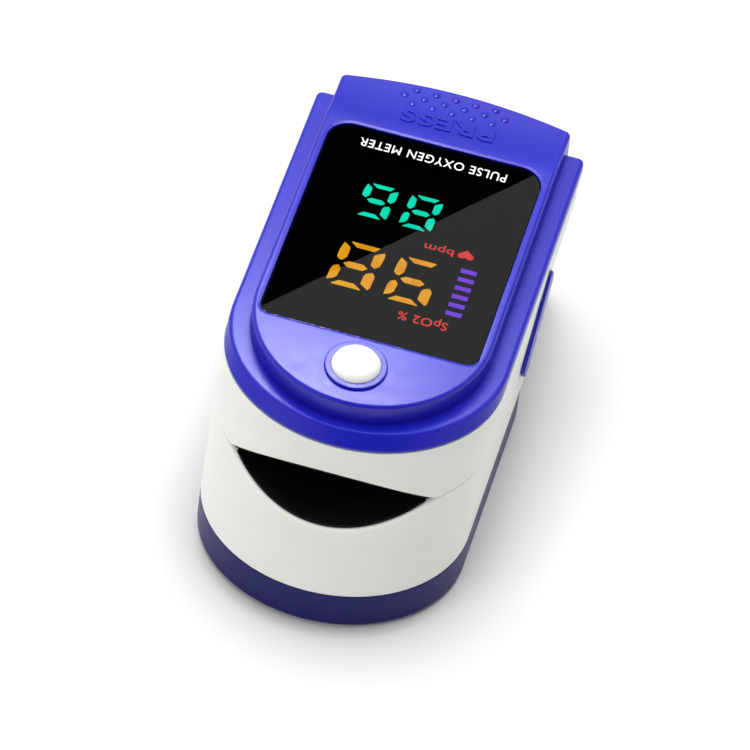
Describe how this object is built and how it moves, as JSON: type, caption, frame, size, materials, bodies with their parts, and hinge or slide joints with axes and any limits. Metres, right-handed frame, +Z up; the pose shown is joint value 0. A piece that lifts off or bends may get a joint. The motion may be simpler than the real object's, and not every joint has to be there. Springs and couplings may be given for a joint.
{
  "type": "fingertip pulse oximeter",
  "caption": "Fingertip pulse oximeter: two hinged shells that clamp on a finger, lit display under a dark window, push button, sliding battery door.",
  "frame": {"origin": "on the resting plane, at the centre of the base cover footprint", "axes": "+Z up through the display, -Y towards the finger opening, +Y towards the press lip, +X to the right seen from the finger opening"},
  "size_m": [0.0344, 0.0641, 0.03],
  "materials": {
    "blue_plastic": "satin, fine moulded grain",
    "base_blue": "satin, fine moulded grain",
    "white_plastic": "satin, fine moulded grain",
    "button_white": "polished",
    "window_lens": "polished smoked acrylic",
    "black_adhesive": "matt",
    "silicone_black": "matt silicone",
    "board_green": "solder mask",
    "display_black": "matt",
    "led_orange": "lit diffuser",
    "led_green": "lit diffuser",
    "led_violet": "lit diffuser",
    "switch_black": "moulded",
    "switch_brown": "moulded",
    "chip_black": "moulded epoxy with tinned leads",
    "chip_ceramic": "fired ceramic",
    "ferrite": "ferrite",
    "connector_cream": "moulded",
    "diode_clear": "epoxy",
    "diode_dark": "epoxy",
    "clear_lens": "polished",
    "screw_steel": "zinc plated",
    "pin_steel": "ground",
    "spring_steel": "drawn wire",
    "contact_nickel": "nickel plated",
    "cell_wrap": "printed sleeve over a steel can",
    "flex_amber": "polyimide film"
  },
  "bodies": {
    "lower_half": {"lower_case": "white_plastic", "lower_finger_pad": "silicone_black", "detector_board": "board_green", "photodiode": "diode_dark", "detector_lens": "clear_lens", "base_cover": "base_blue", "case_screws": "screw_steel", "battery_left": "cell_wrap", "battery_right": "cell_wrap", "contact_bridge_front": "contact_nickel", "contact_plate_rear_left": "contact_nickel", "contact_plate_rear_right": "contact_nickel", "contact_spring_front": "contact_nickel", "contact_spring_rear": "contact_nickel", "hinge_pin": "pin_steel", "hinge_cover_right": "blue_plastic", "hinge_cover_left": "blue_plastic", "torsion_spring_right": "spring_steel", "torsion_spring_left": "spring_steel", "flex_cable": "flex_amber"},
    "upper_half": {"top_cover": "blue_plastic", "display_window": "window_lens", "window_gasket": "black_adhesive", "main_pcb": "board_green", "display_module": "display_black", "spo2_digits": "led_orange", "pulse_digits": "led_green", "pulse_bars": "led_violet", "tact_switch": "switch_black", "microcontroller": "chip_black", "chip_capacitors": "chip_ceramic", "boost_inductor": "ferrite", "cable_connector": "connector_cream", "emitter_led": "diode_clear", "emitter_lens": "clear_lens", "board_screws": "screw_steel", "upper_case": "white_plastic", "upper_finger_pad": "silicone_black"},
    "button": {"power_button": "button_white"},
    "plunger": {"switch_plunger": "switch_brown"},
    "door": {"battery_door": "base_blue"}
  },
  "joints": [
    {"name": "clamp_hinge", "type": "hinge", "parent": "lower_half", "child": "upper_half", "pos_m": [0, 0.0112, 0.0156], "axis": [-1, 0, 0], "range_deg": [0, 16.5], "stiffness_Nm_per_rad": 0.12, "springref_deg": -28.65, "deforming": ["torsion_spring_right", "torsion_spring_left", "flex_cable"]},
    {"name": "power_button_press", "type": "slide", "parent": "upper_half", "child": "button", "axis": [0, 0, -1], "range_m": [0, 0.00025]},
    {"name": "switch_plunger_press", "type": "slide", "parent": "upper_half", "child": "plunger", "axis": [0, 0, -1], "range_m": [0, 0.00025]},
    {"name": "battery_door_slide", "type": "slide", "parent": "lower_half", "child": "door", "axis": [0, 1, 0], "range_m": [0, 0.052]}
  ],
  "couplings": [
    {"joint": "switch_plunger_press", "follows": "power_button_press", "ratio": 1}
  ]
}
